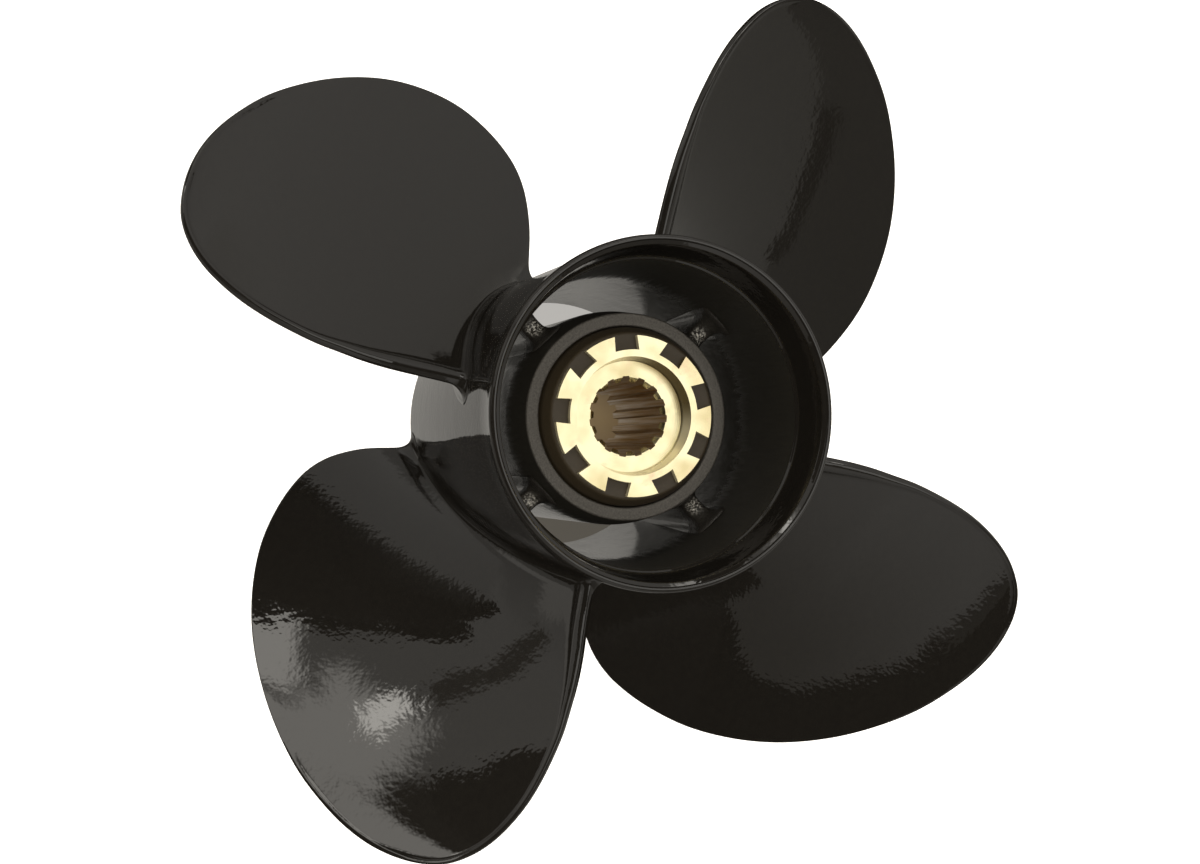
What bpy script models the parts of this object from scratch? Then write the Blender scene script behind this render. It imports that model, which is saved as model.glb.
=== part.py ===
"""Four-bladed outboard-motor propeller with an exhaust passage through its hub.

Built on the shaft axis: +Z points aft, the hub's front edge lies in z = 0, and the
tip of blade_1 points along +X. The painted aluminium casting is divided into its
barrel, flared rim, inner hub, ribs and blades. A rubber bush and a splined brass
sleeve are fitted in the inner hub.
"""

import math

import bmesh
import bpy
from mathutils import Matrix, Vector

MM = 0.001
GAP = 0.3 * MM

# Driving sizes of the propeller, in metres.
TIP_RADIUS = 171.45 * MM
HUB_LENGTH = 155.3 * MM
BLADE_COUNT = 4
RIB_COUNT = 4

# Barrel: its bore widens aft, as the core that shaped it was drawn out that way.
BARREL_OUTER = 57.6 * MM
BARREL_INNER_FRONT = 49.2 * MM
BARREL_INNER_AFT = 51.8 * MM
BARREL_END = 134.7 * MM

# Flared rim.
RIM_STEP = 137.2 * MM
RIM_OUTER = 59.1 * MM
RIM_MOUTH_INNER = 56.5 * MM

# Inner hub.
INNER_HUB_FRONT = 9.0 * MM
INNER_HUB_AFT = 110.6 * MM
INNER_HUB_BORE = 31.9 * MM
INNER_HUB_FACE_RADIUS = 36.5 * MM
INNER_HUB_SHOULDER = 92.0 * MM
INNER_HUB_RADIUS = 38.6 * MM

# Ribs between the inner hub and the barrel.
RIB_THICKNESS = 7.0 * MM
RIB_FRONT = 12.0 * MM
RIB_AFT = 103.0 * MM
RIB_FIRST_ANGLE = -15.4

# Rubber bush.
BUSH_RADIUS = 31.4 * MM
BUSH_FRONT = 12.0 * MM
BUSH_AFT = 117.2 * MM
BUSH_SHOULDER_RADIUS = 28.5 * MM
BUSH_SHOULDER_DROP = 5.2 * MM

# Splined brass sleeve with dovetail teeth.
SLEEVE_FRONT = 5.0 * MM
SLEEVE_AFT = 119.6 * MM
TOOTH_COUNT = 9
TOOTH_TIP_RADIUS = 28.1 * MM
TOOTH_ROOT_RADIUS = 23.1 * MM
TOOTH_TIP_HALF_ANGLE = 11.6
TOOTH_ROOT_HALF_ANGLE = 9.2
TOOTH_FIRST_ANGLE = 117.6
SPLINE_COUNT = 15
SPLINE_FIRST_ANGLE = 22.7
SPLINE_MAJOR_RADIUS = 14.2 * MM
SPLINE_MINOR_RADIUS = 12.2 * MM
SEAT_MOUTH_RADIUS = 20.7 * MM
SEAT_FLOOR_RADIUS = 19.5 * MM
SEAT_DEPTH = 7.4 * MM

# Blade stations: radius in mm, then the leading edge and the trailing edge of the aft
# face, each as an angle in degrees and a height in mm, then the greatest thickness in mm.
# Angles are counted anticlockwise, seen from aft, from the tip of the same blade.
BLADE_STATIONS = (
    (56.2, -46.4, 3.6, 19.4, 108.5, 17),
    (57.9, -47.4, 4.2, 19.4, 108.5, 14.8),
    (59.6, -48.6, 4.8, 19.3, 108.4, 12.4),
    (62, -49.4, 5.9, 19.2, 108.3, 10.6),
    (68.6, -50.5, 7.5, 19.3, 109.0, 9.6),
    (77.2, -51.2, 9.8, 19.5, 110.3, 8.9),
    (85.7, -51, 12.8, 19.6, 112.1, 8.3),
    (94.3, -50.1, 16.4, 19.4, 113.6, 7.7),
    (102.9, -48.2, 21.1, 18.9, 114.8, 7.1),
    (111.4, -45.3, 26.9, 18.4, 115.8, 6.5),
    (120, -41.8, 33.6, 17.6, 116.3, 5.9),
    (128.6, -37.9, 41.0, 16.7, 116.4, 5.4),
    (137.2, -33.2, 49.3, 15.6, 116.2, 4.9),
    (145.7, -27.9, 58.5, 14.2, 115.4, 4.4),
    (154.3, -21.5, 68.9, 12.4, 114.0, 4),
    (161.2, -15.6, 77.7, 10.3, 112.5, 3.6),
    (166.3, -10.5, 85.2, 7.9, 110.9, 3.2),
    (169.3, -6.2, 91.5, 5.2, 108.3, 2.8),
    (171, -2.6, 96.8, 2.3, 104.4, 2.4),
    (171.45, -0.8, 99.4, 0.8, 101.8, 2.2),
)
LEADING_EDGE_THICKNESS = 1.8
TRAILING_EDGE_THICKNESS = 3.0
CUP_HEIGHT = 1.8
CHORD_PLACES = (0.0, 0.012, 0.05, 0.12, 0.22, 0.34, 0.47, 0.60, 0.72, 0.82, 0.90, 0.955, 0.985, 1.0)

ROUND_STEPS = 96


def clear_scene():
    for item in list(bpy.data.objects):
        bpy.data.objects.remove(item, do_unlink=True)


def new_collection(name, parent):
    collection = bpy.data.collections.new(name)
    parent.children.link(collection)
    return collection


def material(name, color, metallic, roughness):
    made = bpy.data.materials.new(name)
    made.use_nodes = True
    shader = made.node_tree.nodes["Principled BSDF"]
    shader.inputs["Base Color"].default_value = (*color, 1.0)
    shader.inputs["Metallic"].default_value = metallic
    shader.inputs["Roughness"].default_value = roughness
    made.diffuse_color = (*color, 1.0)
    return made


def shade_round(mesh, degrees=32.0):
    mesh.shade_smooth()
    mesh.set_sharp_from_angle(angle=math.radians(degrees))


def add_object(name, mesh, collection, slot=None):
    made = bpy.data.objects.new(name, mesh)
    if slot is not None:
        mesh.materials.append(slot)
    collection.objects.link(made)
    return made


def revolved(name, profile, collection, slot, steps=ROUND_STEPS):
    """A closed profile of (radius, height) pairs turned about the shaft axis."""
    mesh = bpy.data.meshes.new(name)
    count = len(profile)
    points = [(radius, 0.0, height) for radius, height in profile]
    edges = [(i, (i + 1) % count) for i in range(count)]
    mesh.from_pydata(points, edges, [])
    made = add_object(name, mesh, collection, slot)
    screw = made.modifiers.new("turn", "SCREW")
    screw.axis = "Z"
    screw.angle = math.tau
    screw.steps = steps
    screw.render_steps = steps
    screw.use_merge_vertices = True
    screw.merge_threshold = 0.00001
    screw.use_smooth_shade = True
    return made


def cut(target, cutter):
    boolean = target.modifiers.new("cut", "BOOLEAN")
    boolean.operation = "DIFFERENCE"
    boolean.solver = "EXACT"
    boolean.object = cutter


def on_circle(radius, degrees):
    turn = math.radians(degrees)
    return (radius * math.cos(turn), radius * math.sin(turn))


def dovetail_outline(clearance):
    """Outline of the toothed sleeve, grown by a clearance on every side."""
    tip = TOOTH_TIP_RADIUS + clearance
    root = TOOTH_ROOT_RADIUS + clearance
    pitch = 360.0 / TOOTH_COUNT
    tip_half = TOOTH_TIP_HALF_ANGLE + math.degrees(clearance / tip)
    root_half = TOOTH_ROOT_HALF_ANGLE + math.degrees(clearance / root)
    outline = []
    for tooth in range(TOOTH_COUNT):
        middle = TOOTH_FIRST_ANGLE + tooth * pitch
        outline.append(on_circle(root, middle - root_half))
        for share in (-1.0, -0.5, 0.0, 0.5, 1.0):
            outline.append(on_circle(tip, middle + share * tip_half))
        outline.append(on_circle(root, middle + root_half))
        valley = pitch - 2 * root_half
        for share in (0.33, 0.67):
            outline.append(on_circle(root, middle + root_half + share * valley))
    return outline


def spline_outline():
    """Outline of the splined bore: flat-flanked grooves between narrow teeth."""
    outline = []
    pitch = 360.0 / SPLINE_COUNT
    for groove in range(SPLINE_COUNT):
        middle = SPLINE_FIRST_ANGLE + groove * pitch
        outline.append(on_circle(SPLINE_MINOR_RADIUS, middle - 0.31 * pitch))
        outline.append(on_circle(SPLINE_MAJOR_RADIUS, middle - 0.20 * pitch))
        outline.append(on_circle(SPLINE_MAJOR_RADIUS, middle + 0.20 * pitch))
        outline.append(on_circle(SPLINE_MINOR_RADIUS, middle + 0.31 * pitch))
    return outline


def extruded(name, outlines, low, high, collection, slot=None):
    """Flat closed outlines, the later ones being holes, carried from one height to another."""
    curve = bpy.data.curves.new(name, "CURVE")
    curve.dimensions = "2D"
    curve.fill_mode = "BOTH"
    curve.extrude = (high - low) / 2
    for outline in outlines:
        spline = curve.splines.new("POLY")
        spline.points.add(len(outline) - 1)
        for point, (x, y) in zip(spline.points, outline):
            point.co = (x, y, 0.0, 1.0)
        spline.use_cyclic_u = True
    maker = bpy.data.objects.new(name + "_curve", curve)
    bpy.context.scene.collection.objects.link(maker)
    bpy.context.view_layer.update()
    mesh = bpy.data.meshes.new_from_object(maker.evaluated_get(bpy.context.evaluated_depsgraph_get()))
    bpy.data.objects.remove(maker, do_unlink=True)
    mesh.name = name
    work = bmesh.new()
    work.from_mesh(mesh)
    bmesh.ops.remove_doubles(work, verts=work.verts, dist=0.000005)
    bmesh.ops.recalc_face_normals(work, faces=work.faces)
    bmesh.ops.translate(work, verts=work.verts, vec=(0.0, 0.0, (low + high) / 2))
    work.to_mesh(mesh)
    work.free()
    return add_object(name, mesh, collection, slot)


def blade_section(station):
    """Closed loop of one blade section, wrapped on the cylinder of its radius."""
    radius, lead_angle, lead_height, trail_angle, trail_height, thickest = station
    turn = math.radians(trail_angle - lead_angle)
    rise = trail_height - lead_height
    slope = math.atan2(rise, radius * turn)
    aft_face = []
    front_face = []
    shrink = min(1.0, radius * turn / 30.0)
    for place in CHORD_PLACES:
        cup = CUP_HEIGHT * shrink * max(0.0, (place - 0.88) / 0.12) ** 1.6
        arc = radius * (math.radians(lead_angle) + place * turn)
        height = lead_height + place * rise
        edge = LEADING_EDGE_THICKNESS + place * (TRAILING_EDGE_THICKNESS - LEADING_EDGE_THICKNESS)
        belly = (4.0 * place * (1.0 - place)) ** 0.8
        thick = edge + max(0.0, thickest - edge) * belly
        if place in (0.0, 1.0):
            thick *= 0.55
        aft_face.append((arc - cup * math.sin(slope), height + cup * math.cos(slope)))
        front_face.append(
            (
                arc - (cup - thick) * math.sin(slope),
                height + (cup - thick) * math.cos(slope),
            )
        )
    loop = aft_face + front_face[::-1]
    return [
        (
            radius * math.cos(arc / radius) * MM,
            radius * math.sin(arc / radius) * MM,
            height * MM,
        )
        for arc, height in loop
    ]


def blade_mesh():
    """One blade as a loft through its stations, from the root to the tip."""
    mesh = bpy.data.meshes.new("blade")
    work = bmesh.new()
    loops = []
    for station in BLADE_STATIONS:
        loops.append([work.verts.new(point) for point in blade_section(station)])
    count = len(loops[0])
    for inner, outer in zip(loops, loops[1:]):
        for i in range(count):
            j = (i + 1) % count
            work.faces.new((inner[i], inner[j], outer[j], outer[i]))
    half = count // 2
    for loop in (loops[0], loops[-1]):
        for i in range(half - 1):
            work.faces.new((loop[i], loop[i + 1], loop[count - 2 - i], loop[count - 1 - i]))
    bmesh.ops.recalc_face_normals(work, faces=work.faces)
    work.to_mesh(mesh)
    work.free()
    shade_round(mesh, 50.0)
    return mesh


def barrel_inner(height):
    """Radius of the barrel's bore at a height."""
    return BARREL_INNER_FRONT + (BARREL_INNER_AFT - BARREL_INNER_FRONT) * height / BARREL_END


def inner_hub_outer(height):
    """Radius of the inner hub's outside at a height."""
    if height <= INNER_HUB_SHOULDER:
        return INNER_HUB_RADIUS
    share = (height - INNER_HUB_SHOULDER) / (INNER_HUB_AFT - INNER_HUB_SHOULDER)
    return INNER_HUB_RADIUS + share * (INNER_HUB_FACE_RADIUS - INNER_HUB_RADIUS)


def rib_mesh():
    """One rib: an outline that follows the inner hub and the barrel, thickened, with its ends rounded over."""
    half = RIB_THICKNESS / 2
    outline = [
        (barrel_inner(RIB_FRONT) - 1.6 * GAP, RIB_FRONT),
        (barrel_inner(RIB_AFT) - 1.6 * GAP, RIB_AFT),
        (inner_hub_outer(RIB_AFT) + 1.2 * GAP, RIB_AFT),
        (inner_hub_outer(INNER_HUB_SHOULDER) + 1.2 * GAP, INNER_HUB_SHOULDER),
        (inner_hub_outer(RIB_FRONT) + 1.2 * GAP, RIB_FRONT),
    ]
    work = bmesh.new()
    face = work.faces.new([work.verts.new((x, -half, z)) for x, z in outline])
    wall = bmesh.ops.extrude_face_region(work, geom=[face])
    moved = [item for item in wall["geom"] if isinstance(item, bmesh.types.BMVert)]
    bmesh.ops.translate(work, verts=moved, vec=(0.0, RIB_THICKNESS, 0.0))
    bmesh.ops.recalc_face_normals(work, faces=work.faces)
    ends = []
    for edge in work.edges:
        first, second = (vert.co for vert in edge.verts)
        if abs(first.z - second.z) < 0.001 and abs(first.x - second.x) > 0.001:
            ends.append(edge)
    bmesh.ops.bevel(work, geom=ends, offset=2.6 * MM, segments=4, affect="EDGES", profile=0.5)
    mesh = bpy.data.meshes.new("rib")
    work.to_mesh(mesh)
    work.free()
    shade_round(mesh, 40.0)
    return mesh


clear_scene()
scene_root = bpy.context.scene.collection
propeller = new_collection("outboard_propeller", scene_root)
cutters = new_collection("cutters", scene_root)

black = (0.012, 0.0115, 0.010)
barrel_paint = material("barrel_paint", black, 0.0, 0.18)
rim_paint = material("rim_paint", (0.014, 0.0135, 0.012), 0.0, 0.16)
hub_metal = material("inner_hub_metal", (0.085, 0.085, 0.085), 0.3, 0.45)
rib_paint = material("rib_paint", (0.016, 0.0155, 0.014), 0.0, 0.3)
blade_paint = material("blade_paint", (0.013, 0.0125, 0.011), 0.0, 0.15)
bush_rubber = material("bush_rubber", (0.022, 0.019, 0.015), 0.0, 0.75)
sleeve_brass = material("sleeve_brass", (0.80, 0.62, 0.32), 1.0, 0.3)

# Barrel: the outer tube that the blades stand on.
revolved(
    "hub_barrel",
    (
        (BARREL_OUTER, BARREL_END),
        (BARREL_OUTER, 3.0 * MM),
        (57.3 * MM, 1.6 * MM),
        (56.6 * MM, 0.5 * MM),
        (55.6 * MM, 0.0),
        (51.0 * MM, 0.0),
        (49.9 * MM, 0.5 * MM),
        (barrel_inner(2.0 * MM), 2.0 * MM),
        (BARREL_INNER_AFT, BARREL_END),
    ),
    propeller,
    barrel_paint,
)

# Flared rim: a fine step inside, then a wall that opens to a rounded lip.
rim_base = BARREL_END + GAP
revolved(
    "flared_rim",
    (
        (58.2 * MM, HUB_LENGTH),
        (58.8 * MM, 154.9 * MM),
        (RIM_OUTER, 154.0 * MM),
        (58.9 * MM, 152.0 * MM),
        (58.4 * MM, 148.0 * MM),
        (57.9 * MM, 143.0 * MM),
        (BARREL_OUTER, 138.0 * MM),
        (BARREL_OUTER, rim_base),
        (BARREL_INNER_AFT, rim_base),
        (BARREL_INNER_AFT, RIM_STEP),
        (52.7 * MM, RIM_STEP + 0.7 * MM),
        (53.2 * MM, 141.0 * MM),
        (54.2 * MM, 145.5 * MM),
        (55.5 * MM, 150.0 * MM),
        (RIM_MOUTH_INNER, 153.2 * MM),
        (56.9 * MM, 154.4 * MM),
        (57.4 * MM, 155.1 * MM),
    ),
    propeller,
    rim_paint,
)

# Inner hub: the thick tube that holds the bush, with a machined face aft.
revolved(
    "inner_hub",
    (
        (INNER_HUB_FACE_RADIUS - 0.7 * MM, INNER_HUB_AFT),
        (INNER_HUB_FACE_RADIUS, INNER_HUB_AFT - 0.7 * MM),
        (INNER_HUB_RADIUS, INNER_HUB_SHOULDER),
        (INNER_HUB_RADIUS, INNER_HUB_FRONT + 1.0 * MM),
        (INNER_HUB_RADIUS - 1.0 * MM, INNER_HUB_FRONT),
        (INNER_HUB_BORE + 0.6 * MM, INNER_HUB_FRONT),
        (INNER_HUB_BORE, INNER_HUB_FRONT + 0.6 * MM),
        (INNER_HUB_BORE, INNER_HUB_AFT - 0.5 * MM),
        (INNER_HUB_BORE + 0.5 * MM, INNER_HUB_AFT),
    ),
    propeller,
    hub_metal,
)

# Ribs: they carry the inner hub and leave the exhaust passages open.
rib = rib_mesh()
rib.materials.append(rib_paint)
for number in range(RIB_COUNT):
    web = add_object(f"rib_{number + 1}", rib, propeller)
    web.rotation_euler.z = math.radians(RIB_FIRST_ANGLE + number * 360.0 / RIB_COUNT)

# Blades: the same casting shape four times, turned about the shaft.
blade = blade_mesh()
blade.materials.append(blade_paint)
root_cutter = revolved(
    "root_cutter",
    (
        (BARREL_OUTER + GAP, HUB_LENGTH),
        (BARREL_OUTER + GAP, -10.0 * MM),
        (0.0, -10.0 * MM),
        (0.0, HUB_LENGTH),
    ),
    cutters,
    None,
)
for number in range(BLADE_COUNT):
    leaf = add_object(f"blade_{number + 1}", blade, propeller)
    leaf.rotation_euler.z = math.radians(number * 360.0 / BLADE_COUNT)
    cut(leaf, root_cutter)

# Rubber bush: moulded between the inner hub and the teeth of the sleeve.
bush = revolved(
    "rubber_bush",
    (
        (BUSH_SHOULDER_RADIUS + 0.6 * MM, BUSH_AFT),
        (BUSH_SHOULDER_RADIUS + 1.2 * MM, BUSH_AFT - 0.3 * MM),
        (BUSH_RADIUS, BUSH_AFT - BUSH_SHOULDER_DROP),
        (BUSH_RADIUS, BUSH_FRONT + 2.0 * MM),
        (BUSH_RADIUS - 2.0 * MM, BUSH_FRONT),
        (18.0 * MM, BUSH_FRONT),
        (18.0 * MM, BUSH_AFT),
    ),
    propeller,
    bush_rubber,
)
bush_cutter = extruded(
    "bush_cutter",
    [dovetail_outline(GAP)],
    BUSH_FRONT - 5.0 * MM,
    BUSH_AFT + 5.0 * MM,
    cutters,
)
cut(bush, bush_cutter)

# Sleeve: brass, with dovetail teeth outside, splines inside and a washer seat aft.
sleeve = extruded(
    "brass_sleeve",
    [dovetail_outline(0.0), spline_outline()],
    SLEEVE_FRONT,
    SLEEVE_AFT,
    propeller,
    sleeve_brass,
)
seat_cutter = revolved(
    "seat_cutter",
    (
        (SEAT_MOUTH_RADIUS, SLEEVE_AFT + 4.0 * MM),
        (SEAT_MOUTH_RADIUS, SLEEVE_AFT),
        (SEAT_FLOOR_RADIUS, SLEEVE_AFT - SEAT_DEPTH),
        (0.0, SLEEVE_AFT - SEAT_DEPTH),
        (0.0, SLEEVE_AFT + 4.0 * MM),
    ),
    cutters,
    None,
    64,
)
cut(sleeve, seat_cutter)

for helper in cutters.objects:
    helper.hide_render = True
    helper.display_type = "WIRE"
cutters.hide_render = True
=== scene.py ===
import math

import bmesh
import bpy
from mathutils import Matrix, Vector
from mathutils.kdtree import KDTree


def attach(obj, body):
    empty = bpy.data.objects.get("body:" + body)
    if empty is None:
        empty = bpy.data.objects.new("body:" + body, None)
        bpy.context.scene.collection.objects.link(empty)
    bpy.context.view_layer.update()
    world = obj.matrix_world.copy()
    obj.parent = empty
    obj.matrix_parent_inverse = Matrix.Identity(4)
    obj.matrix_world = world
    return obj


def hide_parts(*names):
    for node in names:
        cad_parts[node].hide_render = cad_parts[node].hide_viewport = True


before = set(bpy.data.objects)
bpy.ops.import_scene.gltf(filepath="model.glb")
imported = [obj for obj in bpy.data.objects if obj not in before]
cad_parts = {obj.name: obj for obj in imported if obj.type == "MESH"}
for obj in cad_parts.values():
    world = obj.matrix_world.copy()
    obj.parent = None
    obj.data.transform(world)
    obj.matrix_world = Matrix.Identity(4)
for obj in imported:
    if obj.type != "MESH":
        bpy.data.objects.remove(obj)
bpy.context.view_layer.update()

# Camera: it looks at the propeller from aft, 16 degrees off the shaft, from 0.6 m, and is rolled
# so that the tip of blade_1 points to the lower left of the picture.
MM = 0.001
CAMERA_PLACE = Vector((109.9, -148.9, 718.8)) * MM
CAMERA_AIM = Vector((11.25, -7.71, 119.6)) * MM
CAMERA_UP = Vector((-0.8518, -0.5235, 0.0169))
LENS = 54.32
SENSOR_WIDTH = 36.0

camera_data = bpy.data.cameras.new("photo_camera")
camera_data.lens = LENS
camera_data.sensor_fit = "HORIZONTAL"
camera_data.sensor_width = SENSOR_WIDTH
camera = bpy.data.objects.new("photo_camera", camera_data)
bpy.context.scene.collection.objects.link(camera)
forward = (CAMERA_AIM - CAMERA_PLACE).normalized()
right = forward.cross(CAMERA_UP).normalized()
upward = right.cross(forward)
camera_turn = Matrix((right, upward, -forward)).transposed().to_4x4()
camera.matrix_world = Matrix.Translation(CAMERA_PLACE) @ camera_turn
bpy.context.scene.camera = camera
bpy.context.scene.view_settings.view_transform = "Standard"


# Floor and light: a pale sweep of paper that glows a little, so that shadows stay faint, and a
# room with a dark ceiling, black flags and a bright, uneven window, which the gloss mirrors.
FLOOR_SIDE = 6.0
FLOOR_COLOUR, FIBRE_COLOUR = "#f4f2ef", "#f1efec"
FLOOR_GLOW = 0.8
# Under the hub the paper is in shade out to these distances from the shaft, in mm. Light leaks in
# round the place under the passage that the photo looks through.
SHADE_END, SHADE_EDGE = 50.0, 58.0
SHADED_PAPER = "#5d5a55"
LEAK_PLACE = (-46.0 * MM, -22.0 * MM, 0.0)
LEAK_CORE, LEAK_EDGE = 14.0, 36.0
LEAK_GLOW = 0.42
WALL_COLOUR = "#efedea"
TABLE_TONE = "#88857f"
MIRRORED_WALL = "#f8f5ef"
CEILING_COLOUR = "#27241f"
CEILING_HEIGHT = 48.0
STRAY_LIGHT = "#595754"
# What hangs round the propeller, each over those before it: azimuth, elevation, width, height,
# roll and blur in degrees, colour, and how many times brighter than that colour.
ROOM = (
    # Wall in front of the ceiling's corner and its dim side, mirrored by blade_2.
    (27.0, 36.0, 44.0, 22.5, 0.0, 1.0, MIRRORED_WALL, 1.0),
    (-22.0, 20.0, 70.0, 100.0, 0.0, 70.0, "#9f9c95", 1.0),
    # Grey curtains with a dark gap, mirrored by blade_3.
    (84.0, 8.0, 64.0, 84.0, 0.0, 12.0, "#b8b5ad", 1.0),
    (66.0, 22.0, 40.0, 60.0, -38.0, 2.0, "#8c8982", 1.0),
    (86.0, 15.0, 3.5, 26.0, -38.0, 2.5, "#57544f", 1.0),
    # Window and its brightest panes, a black flag below and a pale screen, mirrored by blade_1.
    (-138.0, 36.0, 80.0, 40.0, -18.0, 6.0, "#e6e3dc", 1.05),
    (-152.0, 33.0, 22.0, 26.0, -20.0, 4.0, "#f6f2ea", 5.2),
    (-121.0, 43.0, 17.0, 15.0, 15.0, 5.0, "#f6f2ea", 3.6),
    (-117.0, 37.5, 4.5, 7.5, 24.0, 2.5, "#f6f2ea", 10.0),
    (-137.0, 17.5, 42.0, 24.0, -24.0, 1.0, "#0a0a08", 1.0),
    (-142.0, 0.0, 66.0, 27.0, 0.0, 2.0, "#dad7d1", 1.0),
    # Black flags, mirrored by blade_2 and by the edge of blade_1.
    (-50.0, 28.0, 44.0, 76.0, 22.0, 1.0, "#0a0a08", 1.0),
    (-30.0, 8.0, 36.0, 26.0, 0.0, 1.0, "#0a0a08", 1.0),
    (-26.0, 51.0, 46.0, 20.0, 33.0, 1.0, "#0a0a08", 1.0),
    # A grey strip, a low lamp and a dark part of the table, mirrored by blade_1.
    (-102.0, 23.0, 4.5, 26.0, 43.0, 2.0, "#7a766f", 1.0),
    (-84.0, 1.0, 16.0, 18.0, 0.0, 4.0, "#f6f2ea", 1.2),
    (-72.0, -26.0, 40.0, 26.0, 0.0, 2.0, "#1c1b18", 1.0),
    # Dark strips high up and the dark end of the table, mirrored by blade_4 and the rim.
    (131.0, 34.0, 28.0, 17.0, 0.0, 2.0, "#11100e", 1.0),
    (74.0, 45.0, 44.0, 14.0, 0.0, 2.0, "#11100e", 1.0),
    (-156.0, -45.0, 50.0, 48.0, 0.0, 3.0, "#141310", 1.0),
    # Paper straight below, mirrored by the walls inside the hub.
    (0.0, -90.0, 44.0, 44.0, 0.0, 12.0, "#a5a29c", 1.0),
)


def linear(colour, times=1.0):
    """An sRGB hex colour as the linear RGBA that sockets take, made brighter if need be."""
    channels = [int(colour[i : i + 2], 16) / 255 for i in (1, 3, 5)]
    channels = [c / 12.92 if c <= 0.04045 else ((c + 0.055) / 1.055) ** 2.4 for c in channels]
    return tuple(times * c for c in channels) + (1.0,)


def add_node(tree, kind, settings=None, links=None):
    """Adds a node, gives its options and inputs their values, and links its other inputs."""
    node = tree.nodes.new(kind)
    for key, value in (settings or {}).items():
        if isinstance(key, int) or key in node.inputs:
            node.inputs[key].default_value = value
        else:
            setattr(node, key, value)
    for key, source in (links or {}).items():
        tree.links.new(source, node.inputs[key])
    return node


def new_material(name, settings):
    """A material whose Principled shader has these settings."""
    material = bpy.data.materials.new(name)
    material.use_nodes = True
    shader = material.node_tree.nodes["Principled BSDF"]
    for key, value in settings.items():
        shader.inputs[key].default_value = value
    return material, material.node_tree, shader


def select_only(piece):
    """Makes one object the only selected and active one."""
    bpy.ops.object.select_all(action="DESELECT")
    piece.select_set(True)
    bpy.context.view_layer.objects.active = piece


bpy.ops.object.select_all(action="DESELECT")
bpy.ops.mesh.primitive_plane_add(size=FLOOR_SIDE, location=(0.0, 0.0, 0.0))
floor = bpy.context.object
floor.name = "floor"
# Matt paper: warm white, faintly uneven from its fibres, with next to no shine.
paper, tree, shader = new_material("matt_paper", {"Roughness": 0.9, "Specular IOR Level": 0.2})
place = add_node(tree, "ShaderNodeTexCoord").outputs["Object"]
fibres = add_node(tree, "ShaderNodeTexNoise", {"Scale": 60.0, "Detail": 4.0}, {"Vector": place})
tone = add_node(
    tree,
    "ShaderNodeMix",
    {"data_type": "RGBA", 6: linear(FLOOR_COLOUR), 7: linear(FIBRE_COLOUR)},
    {0: fibres.outputs["Fac"]},
)
from_shaft = add_node(tree, "ShaderNodeVectorMath", {"operation": "LENGTH"}, {0: place})
outside = add_node(
    tree,
    "ShaderNodeMapRange",
    {"From Min": SHADE_END * MM, "From Max": SHADE_EDGE * MM},
    {"Value": from_shaft.outputs["Value"]},
)
shaded = add_node(
    tree,
    "ShaderNodeMix",
    {"data_type": "RGBA", 6: linear(SHADED_PAPER)},
    {0: outside.outputs[0], 7: tone.outputs[2]},
)
tree.links.new(shaded.outputs[2], shader.inputs["Base Color"])
open_glow = add_node(
    tree, "ShaderNodeMath", {"operation": "MULTIPLY", 1: FLOOR_GLOW}, {0: outside.outputs[0]}
)
from_leak = add_node(tree, "ShaderNodeVectorMath", {"operation": "DISTANCE", 1: LEAK_PLACE}, {0: place})
leak = add_node(
    tree,
    "ShaderNodeMapRange",
    {"From Min": LEAK_CORE * MM, "From Max": LEAK_EDGE * MM, "To Min": LEAK_GLOW, "To Max": 0.0},
    {"Value": from_leak.outputs["Value"]},
)
glow = add_node(
    tree, "ShaderNodeMath", {"operation": "MAXIMUM"}, {0: open_glow.outputs[0], 1: leak.outputs[0]}
)
tree.links.new(glow.outputs[0], shader.inputs["Emission Strength"])
shader.inputs["Emission Color"].default_value = linear(FLOOR_COLOUR)
floor.data.materials.append(paper)
floor.visible_glossy = False

world = bpy.data.worlds.new("studio")
bpy.context.scene.world = world
world.use_nodes = True
tree = world.node_tree
direction = add_node(tree, "ShaderNodeTexCoord").outputs["Generated"]


def hang(room, azimuth, elevation, width, height, roll, blur, colour):
    """Lays a rectangle of one colour over the room. Its places and sizes are in degrees."""
    turn = (math.radians(roll), math.radians(-elevation), math.radians(azimuth))
    facing = add_node(
        tree, "ShaderNodeMapping", {"vector_type": "TEXTURE", "Rotation": turn}, {"Vector": direction}
    )
    sides = add_node(tree, "ShaderNodeSeparateXYZ", links={0: facing.outputs[0]})
    mask = add_node(
        tree, "ShaderNodeMath", {"operation": "GREATER_THAN", 1: 0.0}, {0: sides.outputs["X"]}
    )
    for axis, size in (("Y", width), ("Z", height)):
        from_middle = add_node(
            tree, "ShaderNodeMath", {"operation": "ABSOLUTE"}, {0: sides.outputs[axis]}
        )
        edge = add_node(
            tree,
            "ShaderNodeMapRange",
            {
                "interpolation_type": "SMOOTHSTEP",
                "From Min": math.sin(math.radians((size - blur) / 2)),
                "From Max": math.sin(math.radians((size + blur) / 2)),
                "To Min": 1.0,
                "To Max": 0.0,
            },
            {"Value": from_middle.outputs[0]},
        )
        mask = add_node(
            tree, "ShaderNodeMath", {"operation": "MULTIPLY"}, {0: mask.outputs[0], 1: edge.outputs[0]}
        )
    hung = add_node(
        tree, "ShaderNodeMix", {"data_type": "RGBA", 7: colour}, {0: mask.outputs[0], 6: room}
    )
    return hung.outputs[2]


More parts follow.
